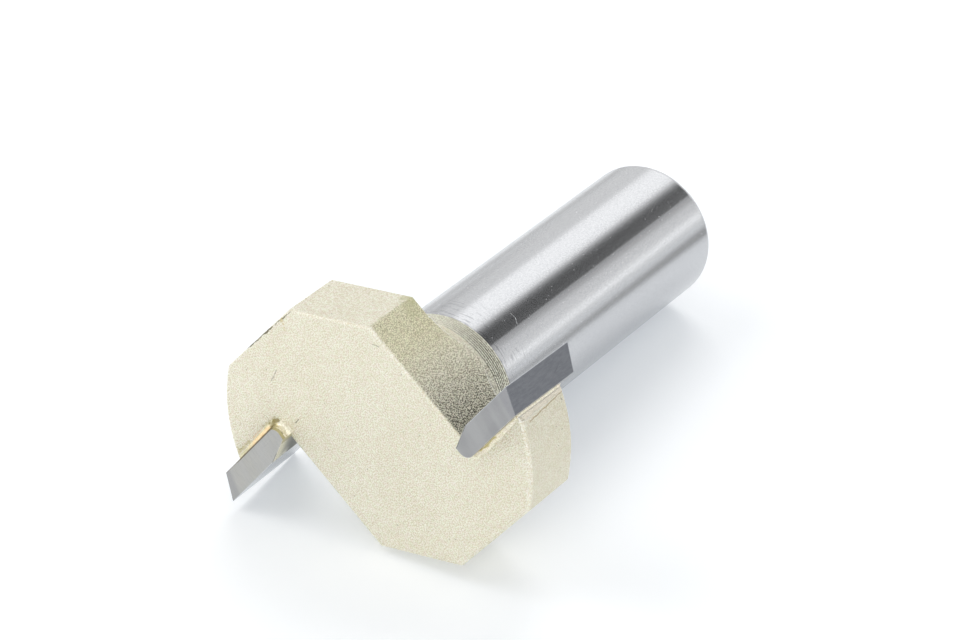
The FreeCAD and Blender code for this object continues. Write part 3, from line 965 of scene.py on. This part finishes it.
# %% World
SKY_ON_MATT = 0.46
SKY_SEEN = 1.0
world = bpy.data.worlds.new("white_studio")
bpy.context.scene.world = world
world.use_nodes = True
tree = world.node_tree
tree.nodes.clear()
strength = mix_value(tree, seen_directly(tree), SKY_ON_MATT, SKY_SEEN)
sky = place_node(tree, "ShaderNodeBackground", {"Color": (1.0, 1.0, 1.0, 1.0), "Strength": strength})
place_node(tree, "ShaderNodeOutputWorld", {"Surface": sky.outputs[0]})
report_nodes(world)

# %% Helpers: a place round the bit, facing it
def direction(azimuth, elevation):
    """Azimuth is measured from the far side, positive to the right, both angles in degrees."""
    turn, rise = math.radians(azimuth), math.radians(elevation)
    return Vector((math.sin(turn) * math.cos(rise), math.cos(turn) * math.cos(rise), math.sin(rise)))


def facing_the_bit(azimuth, elevation, distance):
    place = VIEW_TARGET + direction(azimuth, elevation) * distance
    turn = (VIEW_TARGET - place).to_track_quat("-Z", "Y")
    return Matrix.Translation(place) @ turn.to_matrix().to_4x4()


# %% Helper: a soft box
def soft_box(name, azimuth, elevation, distance, width, height, brightness, reflected=True):
    """brightness is what a mirror would show, where the white studio is 1."""
    lamp = bpy.data.lights.new(name, "AREA")
    lamp.shape = "RECTANGLE"
    lamp.size = width
    lamp.size_y = height
    lamp.energy = brightness * math.pi * width * height
    box = new_object(name, lamp)
    box.matrix_world = facing_the_bit(azimuth, elevation, distance)
    box.visible_glossy = reflected
    print(name, "gives", round(lamp.energy, 3), "W")


# %% Helper: a reflection card
CLEAR_FROM = 0.6


def reflection_card(name, azimuth, elevation, distance, width, height, brightness):
    """A card that only reflections see. It fades out over the outer part of each half."""
    material, tree = new_material(name)
    spot = place_node(tree, "ShaderNodeTexCoord").outputs["Object"]
    parts = place_node(tree, "ShaderNodeSeparateXYZ", {0: spot}).outputs
    inside = 1.0
    for part, half in ((parts["X"], width / 2), (parts["Y"], height / 2)):
        from_middle = maths(tree, "ABSOLUTE", part)
        inside = maths(tree, "MULTIPLY", inside, fade(tree, from_middle, half, half * CLEAR_FROM))
    light = place_node(tree, "ShaderNodeEmission", {"Strength": brightness})
    clear = place_node(tree, "ShaderNodeBsdfTransparent")
    shown = place_node(tree, "ShaderNodeMixShader", {0: inside, 1: clear.outputs[0], 2: light.outputs[0]})
    place_node(tree, "ShaderNodeOutputMaterial", {"Surface": shown.outputs[0]})
    card = flat_sheet(name, width, height, material)
    card.matrix_world = facing_the_bit(azimuth, elevation, distance)
    for ray in ("camera", "diffuse", "shadow", "transmission"):
        setattr(card, "visible_" + ray, False)
    print(name, "shows", brightness, "in the metal")


# %% The lamps
# azimuth, elevation, distance, width, height, brightness
soft_box("back_soft_box", -13, 35, 0.75, 0.32, 0.38, 0.60)
soft_box("key_soft_box", -120, 45, 0.75, 0.45, 0.45, 1.2)
soft_box("table_left_light", -104, 46, 0.8, 0.42, 0.42, 2.0, reflected=False)
soft_box("table_back_light", -25, 46, 0.8, 0.40, 0.40, 4.2, reflected=False)
soft_box("table_right_light", 35, 46, 0.8, 0.40, 0.40, 0.6, reflected=False)
soft_box("table_front_light", 155, 26, 0.8, 0.60, 0.40, 2.1, reflected=False)
reflection_card("black_flag", 18, 38, 0.6, 0.29, 0.46, 0.07)
reflection_card("upper_flag", 44, 52, 0.6, 0.42, 0.32, 0.05)
reflection_card("low_strip", 38, 6.5, 0.6, 0.34, 0.05, 1.95)
reflection_card("right_low_flag", 45, -4.5, 0.052, 0.045, 0.008, 0.42)
reflection_card("left_low_card", -60, -2, 0.055, 0.12, 0.014, 0.72)
reflection_card("camera_side_card", 146, 42, 0.7, 0.55, 0.45, 1.7)
reflection_card("left_grey_card", -50, 14, 0.7, 0.34, 0.30, 0.46)
